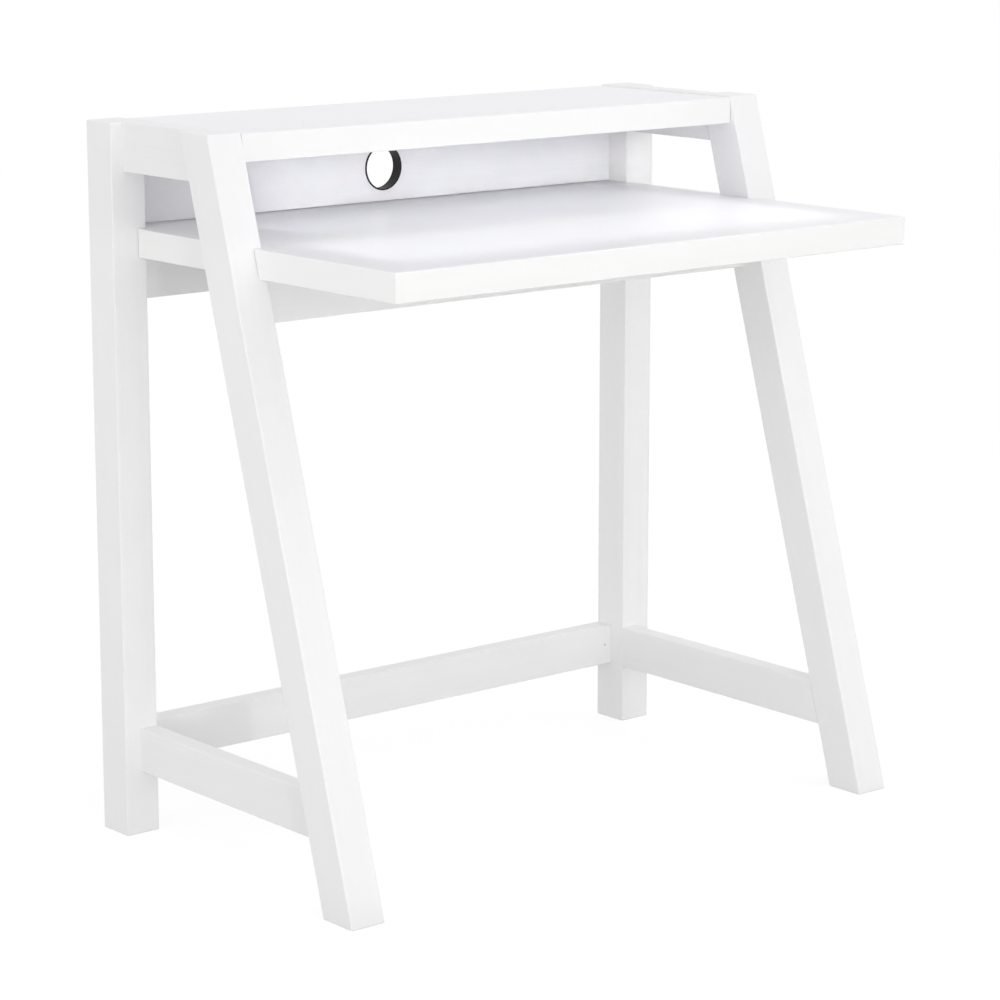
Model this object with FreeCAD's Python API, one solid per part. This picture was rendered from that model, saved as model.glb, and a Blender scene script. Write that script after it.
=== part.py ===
"""White writing desk: two A-shaped side frames, a notched desktop, an upper shelf and a backboard.

Millimetres. +X is the desk's right seen from the front, -Y is the front, +Z is up.
The origin is on the floor, under the middle of the desk's outer box.
Distances called reach are measured forwards from the rear faces of the rear legs.
"""
import FreeCAD
import Part

import math
import os

V = FreeCAD.Vector
X_AXIS = V(1, 0, 0)
Y_AXIS = V(0, 1, 0)
Z_AXIS = V(0, 0, 1)

# Outer size
OVERALL_WIDTH = 876.3
OVERALL_DEPTH = 558.8
OVERALL_HEIGHT = 889.0

# Legs: the rear pair is upright, the front pair leans back from the foot
LEG_WIDTH = 47.625
LEG_DEPTH = 53.0
FRONT_FOOT_REACH = 515.6
FRONT_TOP_REACH = 254.0
LEG_ROUNDING = 1.6

# Side frames: a rail at the top, level with the legs, and a stretcher near the floor
TOP_RAIL_THICKNESS = 30.0
TOP_RAIL_HEIGHT = 60.0
STRETCHER_THICKNESS = 24.0
STRETCHER_HEIGHT = 56.0
STRETCHER_ABOVE_FLOOR = 79.5
RAIL_ROUNDING = 1.2

# Cross members between the frames
REAR_INSET = 3.0
APRON_THICKNESS = 24.0
APRON_HEIGHT = 55.0
FRONT_APRON_MARGIN = 1.0

# Desktop, notched round the four legs
DESKTOP_THICKNESS = 34.925
DESKTOP_EAR = 12.0
NOTCH_CLEARANCE = 1.0
NOTCH_SIDE_CLEARANCE = 1.5
PANEL_ROUNDING = 1.5

# Upper shelf and backboard: all heights hang from the tops of the legs
SHELF_DROP = 1.5
SHELF_THICKNESS = 33.425
CUBBY_HEIGHT = 95.25
SHELF_MEETS_LEG = 7.0
PANEL_END_CLEARANCE = 0.5
BACKBOARD_THICKNESS = 15.0
BACKBOARD_SHADOW_GAP = 1.5
BACKBOARD_ROUNDING = 0.8

# Cable hole and its lining
CABLE_HOLE_ABOVE_DESKTOP = 44.5
CABLE_HOLE_RADIUS = 28.6
GROMMET_CLEARANCE = 0.15
GROMMET_WALL = 1.0
GROMMET_FLANGE_WIDTH = 0.9
GROMMET_FLANGE_THICKNESS = 1.2
GROMMET_ROUNDING = 0.5

# Dowels
DOWEL_RADIUS = 4.0
DOWEL_LENGTH = 36.0
DOWEL_BEVEL = 1.0
DOWEL_SPACING_SHARE = 0.58
BACKBOARD_DOWEL_RADIUS = 3.0
BACKBOARD_DOWEL_LENGTH = 30.0
HOLE_CLEARANCE = 0.1
HOLE_END_CLEARANCE = 1.0

# Pinned dowels of the rear stretcher
PINNED_DOWEL_RADIUS = 6.0
PINNED_DOWEL_LENGTH = 60.0
PIN_RADIUS = 1.75
PIN_FROM_END = 10.0

# Cam fittings of the aprons and the shelf
CAM_RADIUS = 7.4
CAM_BORE_CLEARANCE = 0.1
CAM_BEYOND_AXIS = 5.5
CAM_FROM_END = 24.0
CAM_RECESS_LENGTH = 9.0
CAM_RECESS_WIDTH = 1.6
CAM_RECESS_DEPTH = 1.8
BOLT_THREAD_RADIUS = 3.0
BOLT_THREAD_LENGTH = 12.0
BOLT_STEM_RADIUS = 2.5
BOLT_HEAD_RADIUS = 3.5
BOLT_HEAD_LENGTH = 4.0
BOLT_PLAY = 0.4
SHELF_DOWEL_SHARES = (0.2, 0.8)
SHELF_BOLT_SHARES = (0.36, 0.64)

# Angle brackets that hold the desktop down on the aprons
BRACKET_ARM = 24.0
BRACKET_WIDTH = 18.0
BRACKET_THICKNESS = 2.0
BRACKET_PLACE_SHARES = (-0.6, 0.6)
SCREW_SHANK_RADIUS = 2.0
SCREW_LENGTH = 14.0
SCREW_HEAD_RADIUS = 4.0
SCREW_HEAD_HEIGHT = 2.2
SCREW_HOLE_CLEARANCE = 0.05
BRACKET_HOLE_CLEARANCE = 0.25
SCREW_SLOT_WIDTH = 1.0
SCREW_SLOT_DEPTH = 0.9

# One overrun serves every cut
OVERRUN = 5.0

# An edge runs along a direction when at least this share of its length does
ALONG_SHARE = 0.999

# Planes worked out from the sizes above
OUTER_X = OVERALL_WIDTH / 2
INNER_X = OUTER_X - LEG_WIDTH
REAR_Y = OVERALL_DEPTH / 2
FRONT_Y = -OVERALL_DEPTH / 2
REAR_LEG_FRONT_Y = REAR_Y - LEG_DEPTH
INSET_Y = REAR_Y - REAR_INSET
LEAN = (FRONT_FOOT_REACH - FRONT_TOP_REACH) / OVERALL_HEIGHT
FRONT_LEG_RUN = LEG_DEPTH * math.sqrt(1 + LEAN * LEAN)
SHELF_TOP_Z = OVERALL_HEIGHT - SHELF_DROP
SHELF_BOTTOM_Z = SHELF_TOP_Z - SHELF_THICKNESS
DESKTOP_TOP_Z = SHELF_BOTTOM_Z - CUBBY_HEIGHT
DESKTOP_BOTTOM_Z = DESKTOP_TOP_Z - DESKTOP_THICKNESS
TOP_RAIL_BOTTOM_Z = OVERALL_HEIGHT - TOP_RAIL_HEIGHT
STRETCHER_TOP_Z = STRETCHER_ABOVE_FLOOR + STRETCHER_HEIGHT
STRETCHER_MID_Z = STRETCHER_ABOVE_FLOOR + STRETCHER_HEIGHT / 2
APRON_BOTTOM_Z = DESKTOP_BOTTOM_Z - APRON_HEIGHT
APRON_MID_Z = DESKTOP_BOTTOM_Z - APRON_HEIGHT / 2
BACKBOARD_FRONT_Y = INSET_Y - BACKBOARD_THICKNESS
CABLE_HOLE_Z = DESKTOP_TOP_Z + CABLE_HOLE_ABOVE_DESKTOP


def front_leg_front_y(z):
    """Y of the sloping front face of a front leg at height z."""
    return REAR_Y - FRONT_FOOT_REACH + LEAN * z


def front_leg_rear_y(z):
    """Y of the sloping rear face of a front leg at height z."""
    return front_leg_front_y(z) + FRONT_LEG_RUN


SHELF_FRONT_Y = front_leg_front_y(OVERALL_HEIGHT - SHELF_MEETS_LEG)
FRONT_APRON_REAR_Y = front_leg_rear_y(APRON_BOTTOM_Z) - FRONT_APRON_MARGIN
FRONT_APRON_MID_Y = FRONT_APRON_REAR_Y - APRON_THICKNESS / 2
REAR_APRON_MID_Y = INSET_Y - APRON_THICKNESS / 2
REAR_STRETCHER_MID_Y = INSET_Y - STRETCHER_THICKNESS / 2
BACKBOARD_MID_Y = INSET_Y - BACKBOARD_THICKNESS / 2
SHELF_MID_Z = (SHELF_BOTTOM_Z + SHELF_TOP_Z) / 2
SHELF_RAIL_FRONT_Y = front_leg_rear_y(SHELF_MID_Z)


# Basic solids

def block(low, high):
    """A box between two corners."""
    size = high - low
    return Part.makeBox(size.x, size.y, size.z, low)


def block_about(middle, size):
    """A box about its middle, from sizes along X, Y and Z of either sign."""
    half = V(abs(size.x), abs(size.y), abs(size.z)) / 2
    return block(middle - half, middle + half)


def side_prism(outline, x_low, x_high):
    """A prism along X over an outline of (y, z) points."""
    points = [V(x_low, y, z) for y, z in outline]
    face = Part.Face(Part.makePolygon(points + points[:1]))
    return face.extrude(V(x_high - x_low, 0, 0))


def rod(centre, direction, radius, length):
    """A cylinder whose middle is at centre."""
    start = centre - direction * (length / 2)
    return Part.makeCylinder(radius, length, start, direction)


def rod_from(start, direction, radius, length):
    """A cylinder that starts at a point."""
    return Part.makeCylinder(radius, length, start, direction)


def edges_along(shape, direction):
    """The straight edges of a shape that run along a direction."""
    found = []
    for edge in shape.Edges:
        run = edge.Vertexes[-1].Point - edge.Vertexes[0].Point
        if run.Length > 0 and abs(run.dot(direction)) > ALONG_SHARE * run.Length:
            found.append(edge)
    return found


def rims(shape):
    """The round edges of a cylinder."""
    return [edge for edge in shape.Edges if edge.Curve.TypeId == "Part::GeomCircle"]


def mirrored(shape):
    """The same shape on the other side of the desk."""
    return shape.mirror(V(0, 0, 0), X_AXIS)


def cut_all(shape, tools):
    """The shape with every tool taken out of it."""
    return shape.cut(Part.makeCompound(tools))


# Dowels and their holes

def dowel(centre, direction, radius, length):
    """A dowel with bevelled ends."""
    body = rod(centre, direction, radius, length)
    return body.makeChamfer(DOWEL_BEVEL, rims(body))


def dowel_hole(centre, direction, radius, length):
    """The hole of a dowel in both of the pieces that it joins."""
    return rod(centre, direction, radius + HOLE_CLEARANCE, length + 2 * HOLE_END_CLEARANCE)


def spread(middle, size):
    """Two places, evenly either side of a middle."""
    half = size * DOWEL_SPACING_SHARE / 2
    return (middle - half, middle + half)


def side_frame_places():
    """Centres of the dowels of the left side frame, which lie along Y."""
    rail_x = -INNER_X - TOP_RAIL_THICKNESS / 2
    stretcher_x = -INNER_X - STRETCHER_THICKNESS / 2
    rail_zs = spread(OVERALL_HEIGHT - TOP_RAIL_HEIGHT / 2, TOP_RAIL_HEIGHT)
    stretcher_zs = spread(STRETCHER_MID_Z, STRETCHER_HEIGHT)
    places = []
    for x, heights in ((rail_x, rail_zs), (stretcher_x, stretcher_zs)):
        for z in heights:
            places.append(V(x, REAR_LEG_FRONT_Y, z))
            places.append(V(x, front_leg_rear_y(z), z))
    return places


def apron_places(mid_y):
    """Centres of one apron's dowels at the left legs, which lie along X."""
    return [V(-INNER_X, mid_y, z) for z in spread(APRON_MID_Z, APRON_HEIGHT)]


def backboard_places():
    """Centres of the backboard's dowels at the left rear leg, which lie along X."""
    middle = DESKTOP_TOP_Z + CUBBY_HEIGHT / 2
    return [V(-INNER_X, BACKBOARD_MID_Y, z) for z in spread(middle, CUBBY_HEIGHT)]


def along_rail(share):
    """Y at a share of the top rail's length, counted from the rear leg."""
    return REAR_LEG_FRONT_Y + (SHELF_RAIL_FRONT_Y - REAR_LEG_FRONT_Y) * share


def shelf_dowel_places():
    """Centres of the shelf's dowels at the left top rail, which lie along X."""
    return [V(-INNER_X, along_rail(share), SHELF_MID_Z) for share in SHELF_DOWEL_SHARES]


def shelf_bolt_places():
    """Where the shelf's cam bolts leave the left top rail."""
    return [V(-INNER_X, along_rail(share), SHELF_MID_Z) for share in SHELF_BOLT_SHARES]


def apron_bolt_places():
    """Where the cam bolts of both aprons leave the left legs."""
    return [V(-INNER_X, REAR_APRON_MID_Y, APRON_MID_Z), V(-INNER_X, FRONT_APRON_MID_Y, APRON_MID_Z)]


def rear_stretcher_place():
    """Where the rear stretcher's pinned dowel crosses the left rear leg's inner face."""
    return V(-INNER_X, REAR_STRETCHER_MID_Y, STRETCHER_MID_Z)


def holes(places, direction, radius=DOWEL_RADIUS, length=DOWEL_LENGTH):
    """Dowel holes at a list of places."""
    return [dowel_hole(place, direction, radius, length) for place in places]


def dowels(places, direction, radius=DOWEL_RADIUS, length=DOWEL_LENGTH):
    """Dowels at a list of places."""
    return [dowel(place, direction, radius, length) for place in places]


def both_sides(shapes):
    """Solids of the left side and their mirror images, as one group."""
    return Part.makeCompound(shapes + [mirrored(shape) for shape in shapes])


def thread_holes(places):
    """Holes for the threads of cam bolts, in the pieces outside the shelf and aprons."""
    start = -X_AXIS
    radius = BOLT_THREAD_RADIUS + HOLE_CLEARANCE
    length = BOLT_THREAD_LENGTH + HOLE_END_CLEARANCE
    return [rod_from(place, start, radius, length) for place in places]


# Legs

def rear_leg_holes():
    """Every hole in the left rear leg."""
    tools = holes(side_frame_places(), Y_AXIS)
    tools += holes(apron_places(REAR_APRON_MID_Y), X_AXIS)
    tools += holes(backboard_places(), X_AXIS, BACKBOARD_DOWEL_RADIUS, BACKBOARD_DOWEL_LENGTH)
    tools += holes([rear_stretcher_place()], X_AXIS, PINNED_DOWEL_RADIUS, PINNED_DOWEL_LENGTH)
    tools += thread_holes(apron_bolt_places())
    return tools


def make_left_rear_leg():
    """Upright square post, its edges rounded."""
    leg = block(V(-OUTER_X, REAR_LEG_FRONT_Y, 0), V(-INNER_X, REAR_Y, OVERALL_HEIGHT))
    leg = leg.makeFillet(LEG_ROUNDING, leg.Edges)
    return cut_all(leg, rear_leg_holes())


def make_left_front_leg():
    """Sloping post with level ends, its edges rounded."""
    outline = [
        (front_leg_front_y(0), 0),
        (front_leg_rear_y(0), 0),
        (front_leg_rear_y(OVERALL_HEIGHT), OVERALL_HEIGHT),
        (front_leg_front_y(OVERALL_HEIGHT), OVERALL_HEIGHT),
    ]
    leg = side_prism(outline, -OUTER_X, -INNER_X)
    leg = leg.makeFillet(LEG_ROUNDING, leg.Edges)
    tools = holes(side_frame_places(), Y_AXIS)
    tools += holes(apron_places(FRONT_APRON_MID_Y), X_AXIS)
    tools += thread_holes(apron_bolt_places())
    return cut_all(leg, tools)


# Side rails and stretchers

def side_rail(z_low, z_high, thickness):
    """A rail of the left side frame, from the rear leg to the sloping front leg."""
    outline = [
        (REAR_LEG_FRONT_Y, z_low),
        (REAR_LEG_FRONT_Y, z_high),
        (front_leg_rear_y(z_high), z_high),
        (front_leg_rear_y(z_low), z_low),
    ]
    rail = side_prism(outline, -INNER_X - thickness, -INNER_X)
    rail = rail.makeFillet(RAIL_ROUNDING, edges_along(rail, Y_AXIS))
    return cut_all(rail, holes(side_frame_places(), Y_AXIS))


def make_left_top_rail():
    """Top rail, which also carries the shelf's end."""
    rail = side_rail(TOP_RAIL_BOTTOM_Z, OVERALL_HEIGHT, TOP_RAIL_THICKNESS)
    tools = holes(shelf_dowel_places(), X_AXIS)
    tools += thread_holes(shelf_bolt_places())
    return cut_all(rail, tools)


def make_left_lower_stretcher():
    """Stretcher near the floor, flush with the inner faces of the legs."""
    return side_rail(STRETCHER_ABOVE_FLOOR, STRETCHER_TOP_Z, STRETCHER_THICKNESS)


# Cross members

def cross_member(front_y, rear_y, z_low, z_high):
    """A straight rail between the two side frames."""
    rail = block(V(-INNER_X, front_y, z_low), V(INNER_X, rear_y, z_high))
    return rail.makeFillet(RAIL_ROUNDING, edges_along(rail, X_AXIS))


def pin_centre():
    """Middle of the pin's length in the left end of the rear stretcher."""
    place = rear_stretcher_place()
    return V(place.x + PIN_FROM_END, INSET_Y - STRETCHER_THICKNESS + pin_length() / 2, place.z)


def pin_length():
    """The pin runs from the stretcher's front face to just past the dowel."""
    return STRETCHER_THICKNESS / 2 + PINNED_DOWEL_RADIUS + HOLE_END_CLEARANCE


def pin_hole():
    """Cross hole through the stretcher's front face and the dowel."""
    end = HOLE_END_CLEARANCE
    front = pin_centre() - Y_AXIS * (pin_length() / 2 + OVERRUN)
    return rod_from(front, Y_AXIS, PIN_RADIUS + HOLE_CLEARANCE, OVERRUN + pin_length() + end)


def make_rear_lower_stretcher():
    """Rail between the rear legs near the floor."""
    front_y = INSET_Y - STRETCHER_THICKNESS
    rail = cross_member(front_y, INSET_Y, STRETCHER_ABOVE_FLOOR, STRETCHER_TOP_Z)
    left = holes([rear_stretcher_place()], X_AXIS, PINNED_DOWEL_RADIUS, PINNED_DOWEL_LENGTH)
    left.append(pin_hole())
    return cut_all(rail, left + [mirrored(tool) for tool in left])


def make_pinned_dowels():
    """The thick dowels of the rear stretcher, each cross-drilled for its pin."""
    plain = dowel(rear_stretcher_place(), X_AXIS, PINNED_DOWEL_RADIUS, PINNED_DOWEL_LENGTH)
    return both_sides([plain.cut(pin_hole())])


def make_stretcher_pins():
    """Small headless pins that show as dots on the rear stretcher's front face."""
    return both_sides([rod(pin_centre(), Y_AXIS, PIN_RADIUS, pin_length())])


def apron_tools(mid_y, rear_y):
    """Holes in both ends of one apron: dowels, cam bores from its rear face, bolt stems."""
    place = V(-INNER_X, mid_y, APRON_MID_Z)
    left = holes(apron_places(mid_y), X_AXIS)
    left.append(cam_bore(place, Y_AXIS, rear_y - mid_y))
    left.append(stem_hole(place))
    return left + [mirrored(tool) for tool in left]


def make_apron(front_y):
    """An apron under the desktop, front or rear."""
    rear_y = front_y + APRON_THICKNESS
    mid_y = front_y + APRON_THICKNESS / 2
    rail = cross_member(front_y, rear_y, APRON_BOTTOM_Z, DESKTOP_BOTTOM_Z)
    return cut_all(rail, apron_tools(mid_y, rear_y) + screw_holes())


def make_rear_apron():
    """Apron between the rear legs."""
    return make_apron(INSET_Y - APRON_THICKNESS)


def make_front_apron():
    """Apron between the front legs."""
    return make_apron(FRONT_APRON_REAR_Y - APRON_THICKNESS)


# Cam fittings

def cam_centre(place):
    """Where a cam's own axis crosses its bolt."""
    return place + X_AXIS * CAM_FROM_END


def cam_bore(place, face_direction, axis_depth):
    """The blind bore of a cam, open on the face that face_direction points to."""
    bottom = cam_centre(place) - face_direction * (CAM_BEYOND_AXIS + HOLE_CLEARANCE)
    length = axis_depth + CAM_BEYOND_AXIS + HOLE_CLEARANCE + OVERRUN
    return rod_from(bottom, face_direction, CAM_RADIUS + CAM_BORE_CLEARANCE, length)


def stem_hole(place):
    """The hole that lets a bolt's stem and head reach its cam."""
    return rod_from(place, X_AXIS, BOLT_HEAD_RADIUS + BOLT_PLAY, CAM_FROM_END)


def make_cam_bolt(place):
    """Thread in the side piece, a stem, and a head that sits in the cam."""
    stem_length = CAM_FROM_END - BOLT_HEAD_LENGTH / 2
    thread = rod_from(place, -X_AXIS, BOLT_THREAD_RADIUS, BOLT_THREAD_LENGTH)
    stem = rod_from(place, X_AXIS, BOLT_STEM_RADIUS, stem_length)
    head = rod(cam_centre(place), X_AXIS, BOLT_HEAD_RADIUS, BOLT_HEAD_LENGTH)
    return thread.fuse([stem, head]).removeSplitter()


def cam_cross_recess(face_centre, face_direction):
    """Cross for a screwdriver, cut into the cam's open face."""
    across = X_AXIS.cross(face_direction)
    middle = face_centre - face_direction * (CAM_RECESS_DEPTH / 2)
    tools = []
    for long_way, short_way in ((X_AXIS, across), (across, X_AXIS)):
        across_face = long_way * CAM_RECESS_LENGTH + short_way * CAM_RECESS_WIDTH
        tools.append(block_about(middle, across_face + face_direction * CAM_RECESS_DEPTH))
    return tools


def make_cam(place, face_direction, axis_depth):
    """Cam housing: a plug with a pocket for the bolt's head and a slot for its stem."""
    centre = cam_centre(place)
    bottom = centre - face_direction * CAM_BEYOND_AXIS
    plug = rod_from(bottom, face_direction, CAM_RADIUS, CAM_BEYOND_AXIS + axis_depth)
    pocket_radius = BOLT_HEAD_RADIUS + BOLT_PLAY
    pocket = rod(centre, X_AXIS, pocket_radius, BOLT_HEAD_LENGTH + 2 * BOLT_PLAY)
    slot_radius = BOLT_STEM_RADIUS + BOLT_PLAY
    slot = rod_from(centre, -X_AXIS, slot_radius, CAM_RADIUS + OVERRUN)
    entry_way = X_AXIS.cross(face_direction)
    entry = rod_from(centre, entry_way, pocket_radius + BOLT_PLAY, CAM_RADIUS + OVERRUN)
    recess = cam_cross_recess(centre + face_direction * axis_depth, face_direction)
    return cut_all(plug, [pocket, slot, entry] + recess)


def make_cam_bolts():
    """All eight cam bolts."""
    return both_sides([make_cam_bolt(place) for place in apron_bolt_places() + shelf_bolt_places()])


def make_cam_locks():
    """All eight cams: those of the aprons face the rear, those of the shelf face down."""
    cams = [make_cam(place, Y_AXIS, APRON_THICKNESS / 2) for place in apron_bolt_places()]
    shelf_depth = (SHELF_TOP_Z - SHELF_BOTTOM_Z) / 2
    cams += [make_cam(place, -Z_AXIS, shelf_depth) for place in shelf_bolt_places()]
    return both_sides(cams)


# Desktop

def rear_leg_notch():
    """Space for the left rear leg in the desktop."""
    low = V(-OUTER_X, REAR_LEG_FRONT_Y - NOTCH_CLEARANCE, DESKTOP_BOTTOM_Z - OVERRUN)
    high = V(-INNER_X + NOTCH_SIDE_CLEARANCE, REAR_Y, DESKTOP_TOP_Z + OVERRUN)
    return block(low, high)


def front_leg_notch():
    """Space for the sloping left front leg in the desktop."""
    low = DESKTOP_BOTTOM_Z - OVERRUN
    high = DESKTOP_TOP_Z + OVERRUN
    outline = [
        (front_leg_front_y(low) - NOTCH_CLEARANCE, low),
        (front_leg_rear_y(low) + NOTCH_CLEARANCE, low),
        (front_leg_rear_y(high) + NOTCH_CLEARANCE, high),
        (front_leg_front_y(high) - NOTCH_CLEARANCE, high),
    ]
    return side_prism(outline, -OUTER_X, -INNER_X + NOTCH_SIDE_CLEARANCE)


def make_desktop():
    """The worktop, wider than the clear space between the legs by an ear on each side."""
    half_width = INNER_X + DESKTOP_EAR
    low = V(-half_width, FRONT_Y, DESKTOP_BOTTOM_Z)
    panel = block(low, V(half_width, INSET_Y, DESKTOP_TOP_Z))
    panel = panel.makeFillet(PANEL_ROUNDING, panel.Edges)
    left = [rear_leg_notch(), front_leg_notch()]
    return cut_all(panel, left + [mirrored(tool) for tool in left] + screw_holes())


# Shelf and backboard

def make_top_shelf():
    """Shelf between the top rails, its front level with the legs just below their tops."""
    half_length = INNER_X - PANEL_END_CLEARANCE
    low = V(-half_length, SHELF_FRONT_Y, SHELF_BOTTOM_Z)
    panel = block(low, V(half_length, INSET_Y, SHELF_TOP_Z))
    panel = panel.makeFillet(PANEL_ROUNDING, panel.Edges)
    left = holes(shelf_dowel_places(), X_AXIS)
    for place in shelf_bolt_places():
        left.append(cam_bore(place, -Z_AXIS, SHELF_MID_Z - SHELF_BOTTOM_Z))
        left.append(stem_hole(place))
    return cut_all(panel, left + [mirrored(tool) for tool in left])


def make_backboard():
    """Board that closes the rear of the space between desktop and shelf."""
    half_length = INNER_X - PANEL_END_CLEARANCE
    low = V(-half_length, BACKBOARD_FRONT_Y, DESKTOP_TOP_Z + BACKBOARD_SHADOW_GAP)
    panel = block(low, V(half_length, INSET_Y, SHELF_BOTTOM_Z))
    panel = panel.makeFillet(BACKBOARD_ROUNDING, edges_along(panel, X_AXIS))
    left = holes(backboard_places(), X_AXIS, BACKBOARD_DOWEL_RADIUS, BACKBOARD_DOWEL_LENGTH)
    cable_hole = rod(V(0, BACKBOARD_MID_Y, CABLE_HOLE_Z), Y_AXIS, CABLE_HOLE_RADIUS,
                     BACKBOARD_THICKNESS + 2 * OVERRUN)
    return cut_all(panel, left + [mirrored(tool) for tool in left] + [cable_hole])


def make_cable_grommet():
    """Sleeve through the backboard with a thin flange on its front face."""
    sleeve_radius = CABLE_HOLE_RADIUS - GROMMET_CLEARANCE
    front = V(0, BACKBOARD_FRONT_Y - GROMMET_FLANGE_THICKNESS, CABLE_HOLE_Z)
    length = BACKBOARD_THICKNESS + GROMMET_FLANGE_THICKNESS
    flange_radius = CABLE_HOLE_RADIUS + GROMMET_FLANGE_WIDTH
    flange = rod_from(front, Y_AXIS, flange_radius, GROMMET_FLANGE_THICKNESS)
    front_rim = min(rims(flange), key=lambda rim: rim.CenterOfMass.y)
    flange = flange.makeFillet(GROMMET_ROUNDING, [front_rim])
    sleeve = rod_from(front, Y_AXIS, sleeve_radius, length)
    way_through = rod_from(front - Y_AXIS * OVERRUN, Y_AXIS, sleeve_radius - GROMMET_WALL,
                           length + 2 * OVERRUN)
    return flange.fuse(sleeve).cut(way_through).removeSplitter()


# Brackets under the desktop

def bracket_places():
    """Corner lines where the brackets sit: x, y of the apron's face, and the way they point."""
    places = []
    for share in BRACKET_PLACE_SHARES:
        places.append((INNER_X * share, INSET_Y - APRON_THICKNESS, -1))
        places.append((INNER_X * share, FRONT_APRON_REAR_Y, 1))
    return places


def make_bracket(x, y, way):
    """Steel angle: one arm on the apron's face, one under the desktop."""
    half = BRACKET_WIDTH / 2
    top = DESKTOP_BOTTOM_Z
    wall_ys = sorted((y, y + way * BRACKET_THICKNESS))
    arm_ys = sorted((y, y + way * BRACKET_ARM))
    wall = block(V(x - half, wall_ys[0], top - BRACKET_ARM), V(x + half, wall_ys[1], top))
    arm = block(V(x - half, arm_ys[0], top - BRACKET_THICKNESS), V(x + half, arm_ys[1], top))
    bracket = wall.fuse(arm).removeSplitter()
    tools = []
    for start, direction in screw_lines(x, y, way):
        radius = SCREW_SHANK_RADIUS + BRACKET_HOLE_CLEARANCE
        tools.append(rod(start, direction, radius, 2 * BRACKET_THICKNESS + OVERRUN))
    return cut_all(bracket, tools)


def screw_lines(x, y, way):
    """Start under the head and direction of both screws of one bracket."""
    reach = (BRACKET_ARM + BRACKET_THICKNESS) / 2
    into_apron = V(x, y + way * BRACKET_THICKNESS, DESKTOP_BOTTOM_Z - reach)
    into_desktop = V(x, y + way * reach, DESKTOP_BOTTOM_Z - BRACKET_THICKNESS)
    return [(into_apron, Y_AXIS * -way), (into_desktop, Z_AXIS)]


def all_screw_lines():
    """Every bracket screw."""
    return [line for place in bracket_places() for line in screw_lines(*place)]


def screw_holes():
    """Pilot holes of every bracket screw, cut where they meet the aprons and the desktop."""
    radius = SCREW_SHANK_RADIUS + SCREW_HOLE_CLEARANCE
    return [rod_from(start, direction, radius, SCREW_LENGTH + HOLE_END_CLEARANCE)
            for start, direction in all_screw_lines()]


def make_screw(start, direction):
    """Pan-head screw with a straight slot."""
    shank = rod_from(start, direction, SCREW_SHANK_RADIUS, SCREW_LENGTH)
    head = rod_from(start, -direction, SCREW_HEAD_RADIUS, SCREW_HEAD_HEIGHT)
    slot_middle = start - direction * (SCREW_HEAD_HEIGHT - SCREW_SLOT_DEPTH / 2)
    across = X_AXIS.cross(direction) * SCREW_SLOT_WIDTH
    slot_size = X_AXIS * (2 * SCREW_HEAD_RADIUS) + across + direction * SCREW_SLOT_DEPTH
    return shank.fuse(head).removeSplitter().cut(block_about(slot_middle, slot_size))


def make_desktop_brackets():
    """The four angle brackets."""
    return Part.makeCompound([make_bracket(*place) for place in bracket_places()])


def make_bracket_screws():
    """The screws of the four brackets."""
    return Part.makeCompound([make_screw(start, direction) for start, direction in all_screw_lines()])


# Dowel groups

def make_side_frame_dowels():
    """Dowels that join the rails and stretchers to the legs."""
    return both_sides(dowels(side_frame_places(), Y_AXIS))


def make_apron_dowels():
    """Dowels between the aprons and the legs."""
    places = apron_places(REAR_APRON_MID_Y) + apron_places(FRONT_APRON_MID_Y)
    return both_sides(dowels(places, X_AXIS))


def make_shelf_dowels():
    """Dowels between the shelf and the top rails."""
    return both_sides(dowels(shelf_dowel_places(), X_AXIS))


def make_backboard_dowels():
    """Thinner dowels between the backboard and the rear legs."""
    places = backboard_places()
    return both_sides(dowels(places, X_AXIS, BACKBOARD_DOWEL_RADIUS, BACKBOARD_DOWEL_LENGTH))


def make_pairs():
    """The pieces of the left side frame and their mirror images."""
    makers = {
        "rear_leg": make_left_rear_leg,
        "front_leg": make_left_front_leg,
        "top_rail": make_left_top_rail,
        "lower_stretcher": make_left_lower_stretcher,
    }
    pieces = {}
    for name, make in makers.items():
        shape = make()
        pieces["left_" + name] = shape
        pieces["right_" + name] = mirrored(shape)
    return pieces


def make_singles():
    """Every other piece or group of like pieces."""
    return {
        "rear_lower_stretcher": make_rear_lower_stretcher(),
        "rear_apron": make_rear_apron(),
        "front_apron": make_front_apron(),
        "desktop": make_desktop(),
        "top_shelf": make_top_shelf(),
        "backboard": make_backboard(),
        "cable_grommet": make_cable_grommet(),
        "side_frame_dowels": make_side_frame_dowels(),
        "apron_dowels": make_apron_dowels(),
        "shelf_dowels": make_shelf_dowels(),
        "backboard_dowels": make_backboard_dowels(),
        "pinned_dowels": make_pinned_dowels(),
        "stretcher_pins": make_stretcher_pins(),
        "cam_bolts": make_cam_bolts(),
        "cam_locks": make_cam_locks(),
        "desktop_brackets": make_desktop_brackets(),
        "bracket_screws": make_bracket_screws(),
    }


def main():
    os.makedirs("parts", exist_ok=True)
    pieces = {**make_pairs(), **make_singles()}
    for name, shape in pieces.items():
        shape.exportStep("parts/" + name + ".step")
        print(name, len(shape.Solids), "solids", "valid" if shape.isValid() else "NOT VALID")


main()
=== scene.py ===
"""Looks of a white writing desk, built around its packed construction.

Runs as a script in Blender 4.5. Lengths are metres in the frame's own axes: +X is the desk's right
seen from the front, -Y is the front and +Z is up.
"""

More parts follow.
